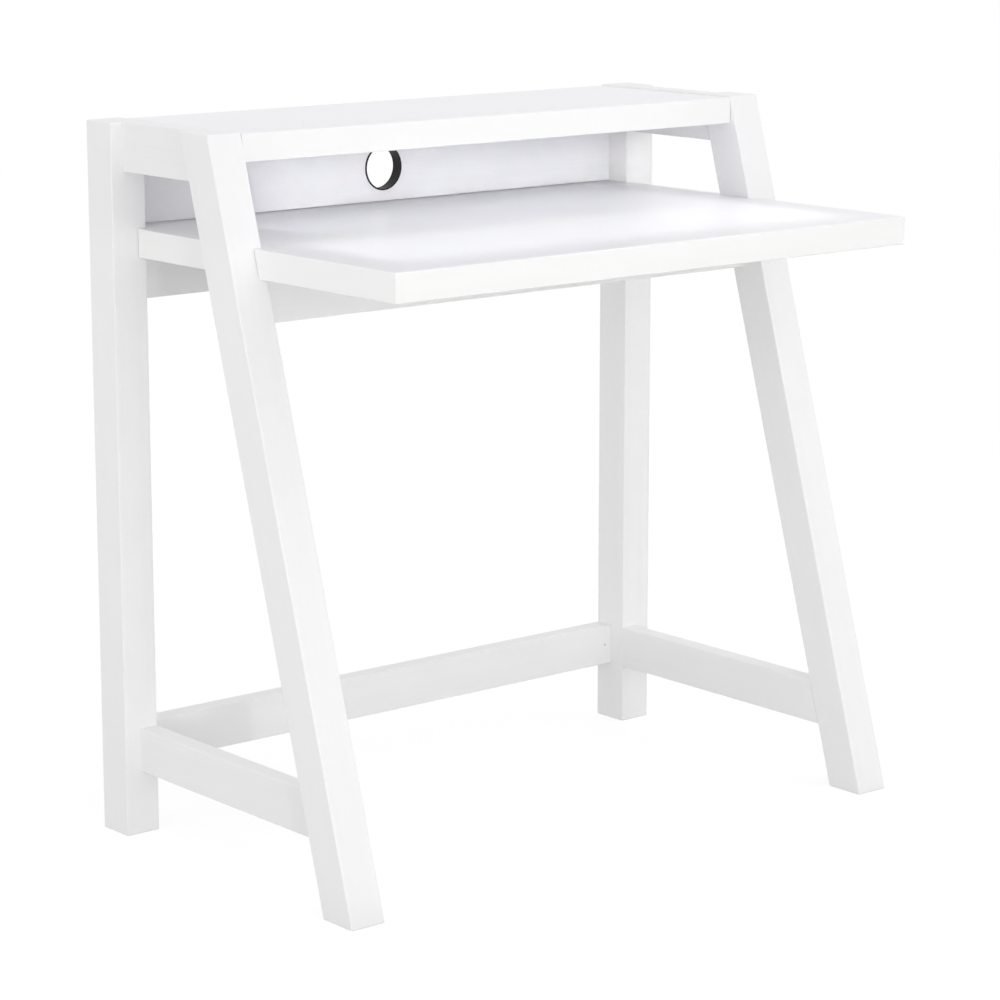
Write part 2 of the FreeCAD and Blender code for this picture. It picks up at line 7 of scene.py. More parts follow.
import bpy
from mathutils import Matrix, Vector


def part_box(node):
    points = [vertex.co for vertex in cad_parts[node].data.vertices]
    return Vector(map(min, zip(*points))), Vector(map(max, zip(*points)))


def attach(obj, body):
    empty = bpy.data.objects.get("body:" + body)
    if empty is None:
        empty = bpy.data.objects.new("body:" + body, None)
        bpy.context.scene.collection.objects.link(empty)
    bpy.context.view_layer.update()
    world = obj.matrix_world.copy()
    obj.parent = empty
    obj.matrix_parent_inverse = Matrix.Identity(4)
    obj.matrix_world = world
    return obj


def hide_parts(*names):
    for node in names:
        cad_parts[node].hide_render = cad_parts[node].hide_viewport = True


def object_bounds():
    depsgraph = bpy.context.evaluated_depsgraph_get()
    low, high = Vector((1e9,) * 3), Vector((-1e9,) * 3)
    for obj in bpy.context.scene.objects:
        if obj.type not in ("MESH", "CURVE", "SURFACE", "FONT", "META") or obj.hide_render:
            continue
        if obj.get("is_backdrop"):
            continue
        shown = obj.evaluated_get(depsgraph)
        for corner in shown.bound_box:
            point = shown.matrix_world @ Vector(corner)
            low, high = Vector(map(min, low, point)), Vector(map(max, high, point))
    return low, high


bl_info = {
    "name": "White writing desk",
    "version": (1, 0, 0),
    "blender": (4, 5, 0),
    "location": "3D View > Sidebar > Desk",
    "description": "Lacquer, laminate, fittings and a plain studio for a white writing desk",
    "category": "Object",
}

import math

import bmesh
import bpy
from mathutils import Vector

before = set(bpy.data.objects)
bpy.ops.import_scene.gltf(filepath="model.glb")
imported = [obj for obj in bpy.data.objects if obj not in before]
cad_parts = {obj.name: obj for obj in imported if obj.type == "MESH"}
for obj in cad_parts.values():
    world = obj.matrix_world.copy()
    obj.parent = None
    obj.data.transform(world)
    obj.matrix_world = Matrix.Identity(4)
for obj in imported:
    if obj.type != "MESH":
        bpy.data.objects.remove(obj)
PACKED_BOX = [list(corner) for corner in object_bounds()]

BODY = "root"
MM = 0.001
QUARTER_TURN = math.radians(90)

# Node names of the construction, by group
LEGS = ("left_rear_leg", "right_rear_leg")
SLOPING_LEGS = ("left_front_leg", "right_front_leg")
SIDE_RAILS = ("left_top_rail", "right_top_rail", "left_lower_stretcher", "right_lower_stretcher")
CROSS_RAILS = ("rear_lower_stretcher", "rear_apron", "front_apron")
DOWELS_ALONG_X = ("apron_dowels", "shelf_dowels", "backboard_dowels", "pinned_dowels")
DOWELS_ALONG_Y = ("side_frame_dowels",)

# Patterns: how far the roughness swings either way, and the sizes and heights that aren't settings
LACQUER_SWING = 0.04
LAMINATE_SWING = 0.02
ABS_SWING = 0.06
LAMINATE_TONE_SIZE = 160 * MM
ABS_WEAR_SIZE = 18 * MM
ABS_GRIT_HEIGHT = 0.02 * MM
BEECH_RING_LENGTH = 40 * MM
BEECH_FLECK_DEPTH = 0.05 * MM
PLATE_LINE_LENGTH = 20 * MM
PLATE_LINE_DEPTH = 0.01 * MM
CAST_MOTTLE_SIZE = 3 * MM
CAST_GRIT_SIZE = 0.5 * MM
CAST_GRIT_HEIGHT = 0.03 * MM
PIN_GRIT_SIZE = 0.8 * MM
PIN_GRIT_HEIGHT = 0.05 * MM

# A noise stays mostly between these values
NOISE_SPAN = {"From Min": 0.3, "From Max": 0.7}

# A face looks along an axis when its normal reaches this far along it
LOOKS_ALONG = 0.7

# Bracket screws: corners this near are one, and one that reaches this share of the radius is the head's
SAME_POINT = 0.001 * MM
HEAD_REACH_SHARE = 0.9
HEAD_SIDES = 48
SHANK_SIDES = 24
BALL_RINGS = 64
SHARP_BEND = math.radians(30)
SCREW_SIZES = ("Head Radius", "Head Height", "Crown Rise", "Slot Width", "Slot Depth", "Shank Radius",
               "Shank Length")

# Lamps and camera, which follow the photograph
SOFT_LAMP_DISTANCE = 3.5
NARROW_LAMP_DISTANCE = 1.5
BEAM_SPREAD = math.radians(2.5)
CAMERA_SENSOR = 36
CAMERA_LENS = 117
CAMERA_DISTANCE = 4.078
CAMERA_AZIMUTH = -39.81
CAMERA_ELEVATION = 11.86
CAMERA_AIM = (-13 * MM, 10.5 * MM, -37.5 * MM)


# Colours

def linear(hex_colour):
    """Linear red, green and blue of an sRGB hex colour."""
    channels = [int(hex_colour[start:start + 2], 16) / 255 for start in (1, 3, 5)]
    return [c / 12.92 if c <= 0.04045 else ((c + 0.055) / 1.055) ** 2.4 for c in channels]


# Sizes and colours that a user would change

class LacquerSettings(bpy.types.PropertyGroup):
    """Sprayed satin lacquer of the legs, rails, stretchers and aprons."""

    colour: bpy.props.FloatVectorProperty(
        name="Colour", description="Colour of the lacquer",
        subtype="COLOR", min=0, max=1, default=linear("#F8F8F8"))
    thin_colour: bpy.props.FloatVectorProperty(
        name="Thin colour", description="Colour where the film lies a little thinner",
        subtype="COLOR", min=0, max=1, default=linear("#F6F6F6"))
    roughness: bpy.props.FloatProperty(
        name="Roughness", description="Mean roughness of the satin film",
        subtype="FACTOR", min=0, max=1, default=0.40)
    peel_spacing: bpy.props.FloatProperty(
        name="Peel spacing", description="Distance between the dimples of the orange peel",
        subtype="DISTANCE", unit="LENGTH", min=0.1 * MM, default=1.4 * MM)
    peel_height: bpy.props.FloatProperty(
        name="Peel height", description="Height of the orange peel",
        subtype="DISTANCE", unit="LENGTH", min=0, default=0.012 * MM)
    cloud_size: bpy.props.FloatProperty(
        name="Cloud size", description="Size of the patches in which the film's thickness varies",
        subtype="DISTANCE", unit="LENGTH", min=1 * MM, default=90 * MM)
    grain_width: bpy.props.FloatProperty(
        name="Grain width", description="Width of the wood's streaks that show under the film",
        subtype="DISTANCE", unit="LENGTH", min=0.1 * MM, default=2.6 * MM)
    grain_length: bpy.props.FloatProperty(
        name="Grain length", description="Length of those streaks along the wood",
        subtype="DISTANCE", unit="LENGTH", min=1 * MM, default=160 * MM)


class LaminateSettings(bpy.types.PropertyGroup):
    """Pressed laminate of the desktop, the shelf and the backboard."""

    colour: bpy.props.FloatVectorProperty(
        name="Colour", description="Colour between the streaks",
        subtype="COLOR", min=0, max=1, default=linear("#FAFAFC"))
    streak_colour: bpy.props.FloatVectorProperty(
        name="Streak colour", description="Colour of the streaks along the grain",
        subtype="COLOR", min=0, max=1, default=linear("#F7F7FA"))
    edging_colour: bpy.props.FloatVectorProperty(
        name="Edging colour", description="Colour of the edging on the boards' upright faces",
        subtype="COLOR", min=0, max=1, default=linear("#FAFAF9"))
    roughness: bpy.props.FloatProperty(
        name="Roughness", description="Mean roughness of the laminate",
        subtype="FACTOR", min=0, max=1, default=0.30)
    streak_width: bpy.props.FloatProperty(
        name="Streak width", description="Width of a streak, across the grain",
        subtype="DISTANCE", unit="LENGTH", min=0.1 * MM, default=2.2 * MM)
    streak_length: bpy.props.FloatProperty(
        name="Streak length", description="Length of a streak, along the grain",
        subtype="DISTANCE", unit="LENGTH", min=1 * MM, default=70 * MM)
    pore_depth: bpy.props.FloatProperty(
        name="Pore depth", description="Depth of the pressed pores",
        subtype="DISTANCE", unit="LENGTH", min=0, default=0.012 * MM)


class LiningSettings(bpy.types.PropertyGroup):
    """Moulded lining of the cable hole."""

    colour: bpy.props.FloatVectorProperty(
        name="Colour", description="Colour of the plastic",
        subtype="COLOR", min=0, max=1, default=linear("#0A0A0B"))
    roughness: bpy.props.FloatProperty(
        name="Roughness", description="Mean roughness of the spark-eroded surface",
        subtype="FACTOR", min=0, max=1, default=0.50)
    texture_size: bpy.props.FloatProperty(
        name="Texture size", description="Size of the mould's fine texture",
        subtype="DISTANCE", unit="LENGTH", min=0.05 * MM, default=0.4 * MM)


class DowelSettings(bpy.types.PropertyGroup):
    """Bare turned dowels inside the joints."""

    colour: bpy.props.FloatVectorProperty(
        name="Colour", description="Colour of the pale early wood",
        subtype="COLOR", min=0, max=1, default=linear("#D9B98C"))
    late_colour: bpy.props.FloatVectorProperty(
        name="Late wood colour", description="Colour of the darker late wood",
        subtype="COLOR", min=0, max=1, default=linear("#B98F5E"))
    ring_spacing: bpy.props.FloatProperty(
        name="Ring spacing", description="Distance between the year rings",
        subtype="DISTANCE", unit="LENGTH", min=0.1 * MM, default=1.8 * MM)


class MetalSettings(bpy.types.PropertyGroup):
    """Plated and cast metal fittings, and the lacquered pins."""

    plate_colour: bpy.props.FloatVectorProperty(
        name="Plate colour", description="Colour of the bright zinc plate",
        subtype="COLOR", min=0, max=1, default=linear("#C9CCD2"))
    cast_colour: bpy.props.FloatVectorProperty(
        name="Cast colour", description="Colour of the die-cast cams",
        subtype="COLOR", min=0, max=1, default=linear("#9C9DA1"))
    pin_colour: bpy.props.FloatVectorProperty(
        name="Pin colour", description="Colour of the pins where the lacquer has sunk in",
        subtype="COLOR", min=0, max=1, default=linear("#E2E0E0"))
    spangle_size: bpy.props.FloatProperty(
        name="Spangle size", description="Size of the patches in the plate's sheen",
        subtype="DISTANCE", unit="LENGTH", min=0.1 * MM, default=2.0 * MM)
    rolling_width: bpy.props.FloatProperty(
        name="Rolling line width", description="Width of the rolling lines of the steel strip",
        subtype="DISTANCE", unit="LENGTH", min=0.05 * MM, default=0.35 * MM)


class ScrewSettings(bpy.types.PropertyGroup):
    """Pan-head screws of the brackets."""

    crown_share: bpy.props.FloatProperty(
        name="Crown share", description="Share of the head's height that is domed",
        subtype="FACTOR", min=0.05, max=0.95, default=0.55)
    slot_width: bpy.props.FloatProperty(
        name="Slot width", description="Width of the screwdriver slot",
        subtype="DISTANCE", unit="LENGTH", min=0.1 * MM, default=1.0 * MM)
    slot_depth: bpy.props.FloatProperty(
        name="Slot depth", description="Depth of the screwdriver slot",
        subtype="DISTANCE", unit="LENGTH", min=0.1 * MM, default=0.9 * MM)
    seed: bpy.props.IntProperty(
        name="Seed", description="Seed of the angles at which the screws were left", default=11)


class StudioSettings(bpy.types.PropertyGroup):
    """Floor, surrounding light and lamps. A lamp's level is what it adds to a white surface."""

    surround_colour: bpy.props.FloatVectorProperty(
        name="Surround colour", description="Colour of the light from all around",
        subtype="COLOR", min=0, max=1, default=linear("#FAFAFC"))
    surround_level: bpy.props.FloatProperty(
        name="Surround level", description="Strength of the light from all around, at the horizon",
        min=0, default=1.09)
    overhead_share: bpy.props.FloatProperty(
        name="Overhead share", description="Strength straight above, as a share of that at the horizon",
        subtype="FACTOR", min=0, max=1, default=0.60)
    floor_colour: bpy.props.FloatVectorProperty(
        name="Floor colour", description="Colour of the light that the floor throws back",
        subtype="COLOR", min=0, max=1, default=linear("#D3D1CE"))
    floor_size: bpy.props.FloatProperty(
        name="Floor size", description="Length of the floor's sides",
        subtype="DISTANCE", unit="LENGTH", min=1, default=14)
    floor_shade: bpy.props.FloatProperty(
        name="Floor shade", description="Share of the floor's white that the desk's shadow can take away",
        subtype="FACTOR", min=0, max=1, default=0.40)
    front_level: bpy.props.FloatProperty(
        name="Front level", description="Level of the soft lamp in front, on a surface that faces it",
        min=0, default=0.11)
    left_level: bpy.props.FloatProperty(
        name="Left level", description="Level of the soft lamp on the left, on a surface that faces it",
        min=0, default=0.08)
    right_level: bpy.props.FloatProperty(
        name="Right level", description="Level of the soft lamp on the right, on a surface that faces it",
        min=0, default=0.12)
    opening_level: bpy.props.FloatProperty(
        name="Opening level", description="Level of the beam under the shelf, on a surface across it",
        min=0, default=0.38)
    desktop_rear_level: bpy.props.FloatProperty(
        name="Desktop rear level", description="Level of the beam to the desktop's rear, across the beam",
        min=0, default=0.76)
    desktop_front_level: bpy.props.FloatProperty(
        name="Desktop front level", description="Level of the beam to the open desktop, across the beam",
        min=0, default=0.56)
    low_level: bpy.props.FloatProperty(
        name="Low level", description="Level of the beam from the floor to the desktop, across the beam",
        min=0, default=0.07)


# Nodes

def socket(sockets, key):
    """A socket by number, or the one in use by name."""
    if isinstance(key, int):
        return sockets[key]
    return next(s for s in sockets if s.enabled and s.name == key)


def add(tree, kind, inputs=(), **settings):
    """Adds a node. Inputs are values, or the nodes and sockets that feed them, several in a list."""
    node = tree.nodes.new(kind)
    for name, value in settings.items():
        setattr(node, name, value)
    for key, value in dict(inputs).items():
        target = socket(node.inputs, key)
        for feed in value if isinstance(value, list) else [value]:
            if isinstance(feed, bpy.types.Node):
                feed = next(s for s in feed.outputs if s.enabled)
            if isinstance(feed, bpy.types.NodeSocket):
                tree.links.new(feed, target)
            else:
                target.default_value = feed
    return node


def new_material(name):
    """An empty material and its node tree."""
    material = bpy.data.materials.new(name)
    material.use_nodes = True
    material.node_tree.nodes.clear()
    return material, material.node_tree


def new_finish(name):
    """An empty material, its node tree, and where a point lies on the desk, in metres."""
    material, tree = new_material(name)
    place = add(tree, "ShaderNodeTexCoord").outputs["Object"]
    return material, tree, place


def stretched(tree, place, turn, length, width):
    """The place turned so that the grain lies along X, in lengths and widths of one streak."""
    turned = add(tree, "ShaderNodeVectorRotate", {"Vector": place, "Rotation": turn},
                 rotation_type="EULER_XYZ")
    scale = (1 / length, 1 / width, 1 / width)
    return add(tree, "ShaderNodeMapping", {"Vector": turned, "Scale": scale})


# Materials

def satin_lacquer(name, settings, turn):
    """White satin lacquer, sprayed on sanded wood.

    The eye sees a soft broad sheen, a trace of orange peel close up, and faint streaks along the wood.
    """
    material, tree, place = new_finish(name)
    grain_place = stretched(tree, place, turn, settings.grain_length, settings.grain_width)
    grain = add(tree, "ShaderNodeTexNoise", {"Vector": grain_place, "Scale": 1.0, "Detail": 3.0})
    cloud = add(tree, "ShaderNodeTexNoise", {
        "Vector": place, "Scale": 1 / settings.cloud_size, "Detail": 3.0})
    peel = add(tree, "ShaderNodeTexNoise", {
        "Vector": place, "Scale": 1 / settings.peel_spacing, "Detail": 1.0})
    film = add(tree, "ShaderNodeMath", {0: grain, 1: cloud}, operation="MULTIPLY")
    thickness = add(tree, "ShaderNodeMapRange", {"Value": film, "From Min": 0.15, "From Max": 0.40})
    colour = add(tree, "ShaderNodeMix", {
        "Factor": thickness, "A": (*settings.thin_colour, 1), "B": (*settings.colour, 1)},
        data_type="RGBA")
    roughness = add(tree, "ShaderNodeMapRange", {
        "Value": cloud, **NOISE_SPAN,
        "To Min": settings.roughness - LACQUER_SWING, "To Max": settings.roughness + LACQUER_SWING})
    relief = add(tree, "ShaderNodeBump", {
        "Height": peel, "Strength": 1.0, "Distance": settings.peel_height})
    shader = add(tree, "ShaderNodeBsdfPrincipled", {
        "Base Color": colour, "Roughness": roughness, "Normal": relief, "IOR": 1.48})
    add(tree, "ShaderNodeOutputMaterial", {"Surface": shader})
    return material


def grained_laminate(name, settings, edged):
    """White laminate, pressed with a fine straight grain along the desk's width.

    The eye sees satin streaks and short pores along the boards. The pores, really 0.2 mm wide, are drawn
    as coarse as they need to show. An edged board has plain white edging, a little warmer, on its upright
    faces, and on its ends the streaks follow the edging.
    """
    material, tree, place = new_finish(name)
    normal = add(tree, "ShaderNodeNewGeometry").outputs["Normal"]
    facing = add(tree, "ShaderNodeSeparateXYZ", {"Vector": normal}).outputs
    sideways = add(tree, "ShaderNodeMath", {0: facing["X"]}, operation="ABSOLUTE")
    on_end = add(tree, "ShaderNodeMath", {0: sideways, 1: LOOKS_ALONG}, operation="GREATER_THAN")
    streak = (settings.streak_length, settings.streak_width)
    along_board = stretched(tree, place, (0, 0, 0), *streak)
    along_end = stretched(tree, place, (0, 0, QUARTER_TURN), *streak)
    grain_place = add(tree, "ShaderNodeMix", {
        "Factor": on_end, "A": along_board, "B": along_end}, data_type="VECTOR")
    streaks = add(tree, "ShaderNodeTexNoise", {
        "Vector": grain_place, "Scale": 1.0, "Detail": 4.0, "Roughness": 0.6})
    pores = add(tree, "ShaderNodeTexNoise", {"Vector": grain_place, "Scale": 2.4, "Detail": 2.0})
    broad = add(tree, "ShaderNodeTexNoise", {
        "Vector": place, "Scale": 1 / LAMINATE_TONE_SIZE, "Detail": 2.0})
    tone = add(tree, "ShaderNodeMath", {0: streaks, 1: broad}, operation="ADD")
    paleness = add(tree, "ShaderNodeMapRange", {"Value": tone, "From Min": 0.75, "From Max": 1.2})
    colour = add(tree, "ShaderNodeMix", {
        "Factor": paleness, "A": (*settings.streak_colour, 1), "B": (*settings.colour, 1)},
        data_type="RGBA")
    if edged:
        upward = add(tree, "ShaderNodeMath", {0: facing["Z"]}, operation="ABSOLUTE")
        on_face = add(tree, "ShaderNodeMath", {0: upward, 1: LOOKS_ALONG}, operation="GREATER_THAN")
        colour = add(tree, "ShaderNodeMix", {
            "Factor": on_face, "A": (*settings.edging_colour, 1), "B": colour}, data_type="RGBA")
    roughness = add(tree, "ShaderNodeMapRange", {
        "Value": streaks, **NOISE_SPAN,
        "To Min": settings.roughness + LAMINATE_SWING, "To Max": settings.roughness - LAMINATE_SWING})
    pressed = add(tree, "ShaderNodeMapRange", {"Value": pores, "From Min": 0.36, "From Max": 0.50})
    relief = add(tree, "ShaderNodeBump", {
        "Height": pressed, "Strength": 0.5, "Distance": settings.pore_depth})
    shader = add(tree, "ShaderNodeBsdfPrincipled", {
        "Base Color": colour, "Roughness": roughness, "Normal": relief,
        "IOR": 1.5, "Specular IOR Level": 0.3})
    add(tree, "ShaderNodeOutputMaterial", {"Surface": shader})
    return material


def moulded_abs(name, settings):
    """Black ABS from a spark-eroded mould.

    The eye sees a near-black satin with a fine even grit, a little worn smoother in patches.
    """
    material, tree, place = new_finish(name)
    grit = add(tree, "ShaderNodeTexNoise", {
        "Vector": place, "Scale": 1 / settings.texture_size, "Detail": 1.0})
    wear = add(tree, "ShaderNodeTexNoise", {
        "Vector": place, "Scale": 1 / ABS_WEAR_SIZE, "Detail": 2.0})
    paleness = add(tree, "ShaderNodeMapRange", {"Value": wear, **NOISE_SPAN})
    darker = [channel * 0.7 for channel in settings.colour]
    colour = add(tree, "ShaderNodeMix", {
        "Factor": paleness, "A": (*darker, 1), "B": (*settings.colour, 1)}, data_type="RGBA")
    roughness = add(tree, "ShaderNodeMapRange", {
        "Value": wear, **NOISE_SPAN,
        "To Min": settings.roughness - ABS_SWING, "To Max": settings.roughness + ABS_SWING})
    relief = add(tree, "ShaderNodeBump", {
        "Height": grit, "Strength": 0.6, "Distance": ABS_GRIT_HEIGHT})
    shader = add(tree, "ShaderNodeBsdfPrincipled", {
        "Base Color": colour, "Roughness": roughness, "Normal": relief,
        "IOR": 1.54, "Specular IOR Level": 0.2})
    add(tree, "ShaderNodeOutputMaterial", {"Surface": shader})
    return material


def turned_beech(name, settings, turn):
    """Bare beech, turned and fluted.

    The eye sees pale brown wood with narrow darker rings along the dowel and short flecks.
    """
    material, tree, place = new_finish(name)
    lengths = stretched(tree, place, turn, BEECH_RING_LENGTH, settings.ring_spacing)
    rings = add(tree, "ShaderNodeTexNoise", {"Vector": lengths, "Scale": 1.0, "Detail": 4.0})
    flecks = add(tree, "ShaderNodeTexNoise", {"Vector": lengths, "Scale": 6.0, "Detail": 1.0})
    paleness = add(tree, "ShaderNodeMapRange", {"Value": rings, "From Min": 0.42, "From Max": 0.6})
    colour = add(tree, "ShaderNodeMix", {
        "Factor": paleness, "A": (*settings.late_colour, 1), "B": (*settings.colour, 1)},
        data_type="RGBA")
    roughness = add(tree, "ShaderNodeMapRange", {
        "Value": flecks, **NOISE_SPAN, "To Min": 0.6, "To Max": 0.75})
    relief = add(tree, "ShaderNodeBump", {
        "Height": flecks, "Strength": 0.5, "Distance": BEECH_FLECK_DEPTH})
    shader = add(tree, "ShaderNodeBsdfPrincipled", {
        "Base Color": colour, "Roughness": roughness, "Normal": relief, "IOR": 1.45})
    add(tree, "ShaderNodeOutputMaterial", {"Surface": shader})
    return material


def bright_zinc_plate(name, settings):
    """Steel strip with bright zinc plate.

    The eye sees a cool grey metal with fine rolling lines and a patchy, slightly cloudy sheen.
    """
    material, tree, place = new_finish(name)
    lines = stretched(tree, place, (0, 0, 0), PLATE_LINE_LENGTH, settings.rolling_width)
    rolling = add(tree, "ShaderNodeTexNoise", {"Vector": lines, "Scale": 1.0, "Detail": 2.0})
    spangle = add(tree, "ShaderNodeTexNoise", {
        "Vector": place, "Scale": 1 / settings.spangle_size, "Detail": 2.0})
    paleness = add(tree, "ShaderNodeMapRange", {"Value": spangle, **NOISE_SPAN})
    darker = [channel * 0.85 for channel in settings.plate_colour]
    colour = add(tree, "ShaderNodeMix", {
        "Factor": paleness, "A": (*darker, 1), "B": (*settings.plate_colour, 1)}, data_type="RGBA")
    roughness = add(tree, "ShaderNodeMapRange", {
        "Value": spangle, **NOISE_SPAN, "To Min": 0.24, "To Max": 0.36})
    relief = add(tree, "ShaderNodeBump", {
        "Height": rolling, "Strength": 0.4, "Distance": PLATE_LINE_DEPTH})
    shader = add(tree, "ShaderNodeBsdfPrincipled", {
        "Base Color": colour, "Roughness": roughness, "Normal": relief, "Metallic": 1.0})
    add(tree, "ShaderNodeOutputMaterial", {"Surface": shader})
    return material


def die_cast_zinc(name, settings):
    """Zinc alloy as it comes from the die.

    The eye sees a dull grey metal, mottled, with a grainy skin.
    """
    material, tree, place = new_finish(name)
    mottle = add(tree, "ShaderNodeTexNoise", {
        "Vector": place, "Scale": 1 / CAST_MOTTLE_SIZE, "Detail": 4.0})
    grit = add(tree, "ShaderNodeTexNoise", {
        "Vector": place, "Scale": 1 / CAST_GRIT_SIZE, "Detail": 2.0})
    paleness = add(tree, "ShaderNodeMapRange", {"Value": mottle, **NOISE_SPAN})
    darker = [channel * 0.8 for channel in settings.cast_colour]
    colour = add(tree, "ShaderNodeMix", {
        "Factor": paleness, "A": (*darker, 1), "B": (*settings.cast_colour, 1)}, data_type="RGBA")
    roughness = add(tree, "ShaderNodeMapRange", {
        "Value": mottle, **NOISE_SPAN, "To Min": 0.42, "To Max": 0.55})
    relief = add(tree, "ShaderNodeBump", {
        "Height": grit, "Strength": 0.5, "Distance": CAST_GRIT_HEIGHT})
    shader = add(tree, "ShaderNodeBsdfPrincipled", {
        "Base Color": colour, "Roughness": roughness, "Normal": relief, "Metallic": 1.0})
    add(tree, "ShaderNodeOutputMaterial", {"Surface": shader})
    return material


def sunken_lacquer(name, settings):
    """Lacquer that has sunk over a pin's end.

    The eye sees a small faint grey dot, rougher than the lacquer round it.
    """
    material, tree, place = new_finish(name)
    grit = add(tree, "ShaderNodeTexNoise", {
        "Vector": place, "Scale": 1 / PIN_GRIT_SIZE, "Detail": 3.0})
    paleness = add(tree, "ShaderNodeMapRange", {"Value": grit, **NOISE_SPAN})
    darker = [channel * 0.8 for channel in settings.pin_colour]
    colour = add(tree, "ShaderNodeMix", {
        "Factor": paleness, "A": (*darker, 1), "B": (*settings.pin_colour, 1)}, data_type="RGBA")
    roughness = add(tree, "ShaderNodeMapRange", {
        "Value": grit, **NOISE_SPAN, "To Min": 0.5, "To Max": 0.65})
    relief = add(tree, "ShaderNodeBump", {
        "Height": grit, "Strength": 0.6, "Distance": PIN_GRIT_HEIGHT})
    shader = add(tree, "ShaderNodeBsdfPrincipled", {
        "Base Color": colour, "Roughness": roughness, "Normal": relief})
    add(tree, "ShaderNodeOutputMaterial", {"Surface": shader})
    return material


def dress(names, material):
    """Gives construction nodes a finish."""
    for name in names:
        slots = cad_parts[name].data.materials
        slots.clear()
        slots.append(material)


# Operators

class DESK_OT_side_frames(bpy.types.Operator):
    """Lacquer the legs, top rails and side stretchers, each along its own grain"""

    bl_idname = "desk.side_frames"
    bl_label = "Side frames"

    def execute(self, context):
        settings = context.scene.desk_lacquer
        upright = (0, QUARTER_TURN, 0)
        dress(LEGS, satin_lacquer("satin_lacquer_upright", settings, upright))
        sloping = (leg_lean(), QUARTER_TURN, 0)
        dress(SLOPING_LEGS, satin_lacquer("satin_lacquer_sloping", settings, sloping))
        fore_and_aft = (0, 0, QUARTER_TURN)
        dress(SIDE_RAILS, satin_lacquer("satin_lacquer_fore_and_aft", settings, fore_and_aft))
        return {"FINISHED"}


class DESK_OT_cross_members(bpy.types.Operator):
    """Lacquer the aprons and the rear stretcher, and let the lacquer sink over its pins"""

    bl_idname = "desk.cross_members"
    bl_label = "Cross members"

    def execute(self, context):
        across = (0, 0, 0)
        dress(CROSS_RAILS, satin_lacquer("satin_lacquer_across", context.scene.desk_lacquer, across))
        dress(["stretcher_pins"], sunken_lacquer("sunken_lacquer", context.scene.desk_metal))
        return {"FINISHED"}


class DESK_OT_panels(bpy.types.Operator):
    """Face the desktop, the shelf and the backboard with laminate"""

    bl_idname = "desk.panels"
    bl_label = "Panels"

    def execute(self, context):
        settings = context.scene.desk_laminate
        dress(["desktop", "top_shelf"], grained_laminate("edged_white_laminate", settings, edged=True))
        dress(["backboard"], grained_laminate("plain_white_laminate", settings, edged=False))
        return {"FINISHED"}


class DESK_OT_cable_lining(bpy.types.Operator):
    """Mould the lining of the cable hole in black plastic"""

    bl_idname = "desk.cable_lining"
    bl_label = "Cable hole lining"

    def execute(self, context):
        dress(["cable_grommet"], moulded_abs("black_moulded_abs", context.scene.desk_lining))
        return {"FINISHED"}


class DESK_OT_dowels(bpy.types.Operator):
    """Turn the dowels in bare beech"""

    bl_idname = "desk.dowels"
    bl_label = "Dowels"

    def execute(self, context):
        settings = context.scene.desk_dowels
        across = (0, 0, 0)
        dress(DOWELS_ALONG_X, turned_beech("turned_beech_across", settings, across))
        fore_and_aft = (0, 0, QUARTER_TURN)
        dress(DOWELS_ALONG_Y, turned_beech("turned_beech_fore_and_aft", settings, fore_and_aft))
        return {"FINISHED"}


class DESK_OT_cam_fittings(bpy.types.Operator):
    """Plate the cam bolts and cast the cams"""

    bl_idname = "desk.cam_fittings"
    bl_label = "Cam fittings"

    def execute(self, context):
        settings = context.scene.desk_metal
        dress(["cam_bolts"], bright_zinc_plate("bright_zinc_bolts", settings))
        dress(["cam_locks"], die_cast_zinc("die_cast_zinc", settings))
        return {"FINISHED"}


class DESK_OT_brackets(bpy.types.Operator):
    """Plate the brackets that hold the desktop down"""

    bl_idname = "desk.brackets"
    bl_label = "Brackets"

    def execute(self, context):
        dress(["desktop_brackets"], bright_zinc_plate("bright_zinc_strip", context.scene.desk_metal))
        return {"FINISHED"}


class DESK_OT_bracket_screws(bpy.types.Operator):
    """Drive a domed pan-head screw where each plain one of the construction sits"""

    bl_idname = "desk.bracket_screws"
    bl_label = "Bracket screws"

    def execute(self, context):
        settings = context.scene.desk_screws
        solids = separate_solids(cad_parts["bracket_screws"])
        measured = [measured_screw(points) for points in solids]
        screws = object_of_seats("bracket_pan_head_screws", [(seat, way) for seat, way, sizes in measured])
        material = bright_zinc_plate("bright_zinc_screws", context.scene.desk_metal)
        sizes = measured[0][2]
        sizes["Crown Rise"] = sizes["Head Height"] * settings.crown_share
        sizes["Slot Width"] = settings.slot_width
        sizes["Slot Depth"] = settings.slot_depth
        sizes["Seed"] = settings.seed
        apply_tree(screws, screw_tree(material), sizes)
        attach(screws, BODY)
        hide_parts("bracket_screws")
        return {"FINISHED"}


class DESK_OT_studio(bpy.types.Operator):
    """Set the floor, the surrounding light, the lamps and the camera"""

    bl_idname = "desk.studio"
    bl_label = "Studio"

    def execute(self, context):
        settings = context.scene.desk_studio
        make_floor(settings)
        make_surround(settings)
        make_soft_lamps(settings)
        make_narrow_lamps(settings)
        make_camera()
        context.scene.view_settings.view_transform = "Standard"
        return {"FINISHED"}


# Side frames

def leg_lean():
    """Angle of the sloping legs from upright, from the front ends of the two rails that meet them."""
    upper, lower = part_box("left_top_rail")[0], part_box("left_lower_stretcher")[0]
    return math.atan2(upper.y - lower.y, upper.z - lower.z)


# Bracket screws

def points_box(points):
    """Lowest and highest corner of a list of points."""
    low = Vector([min(p[axis] for p in points) for axis in range(3)])
    high = Vector([max(p[axis] for p in points) for axis in range(3)])
    return low, high


def low_corner(points):
    """Lowest X and lowest Y of a list of points, to a tenth of a millimetre."""
    low = points_box(points)[0]
    return round(low.x, 4), round(low.y, 4)


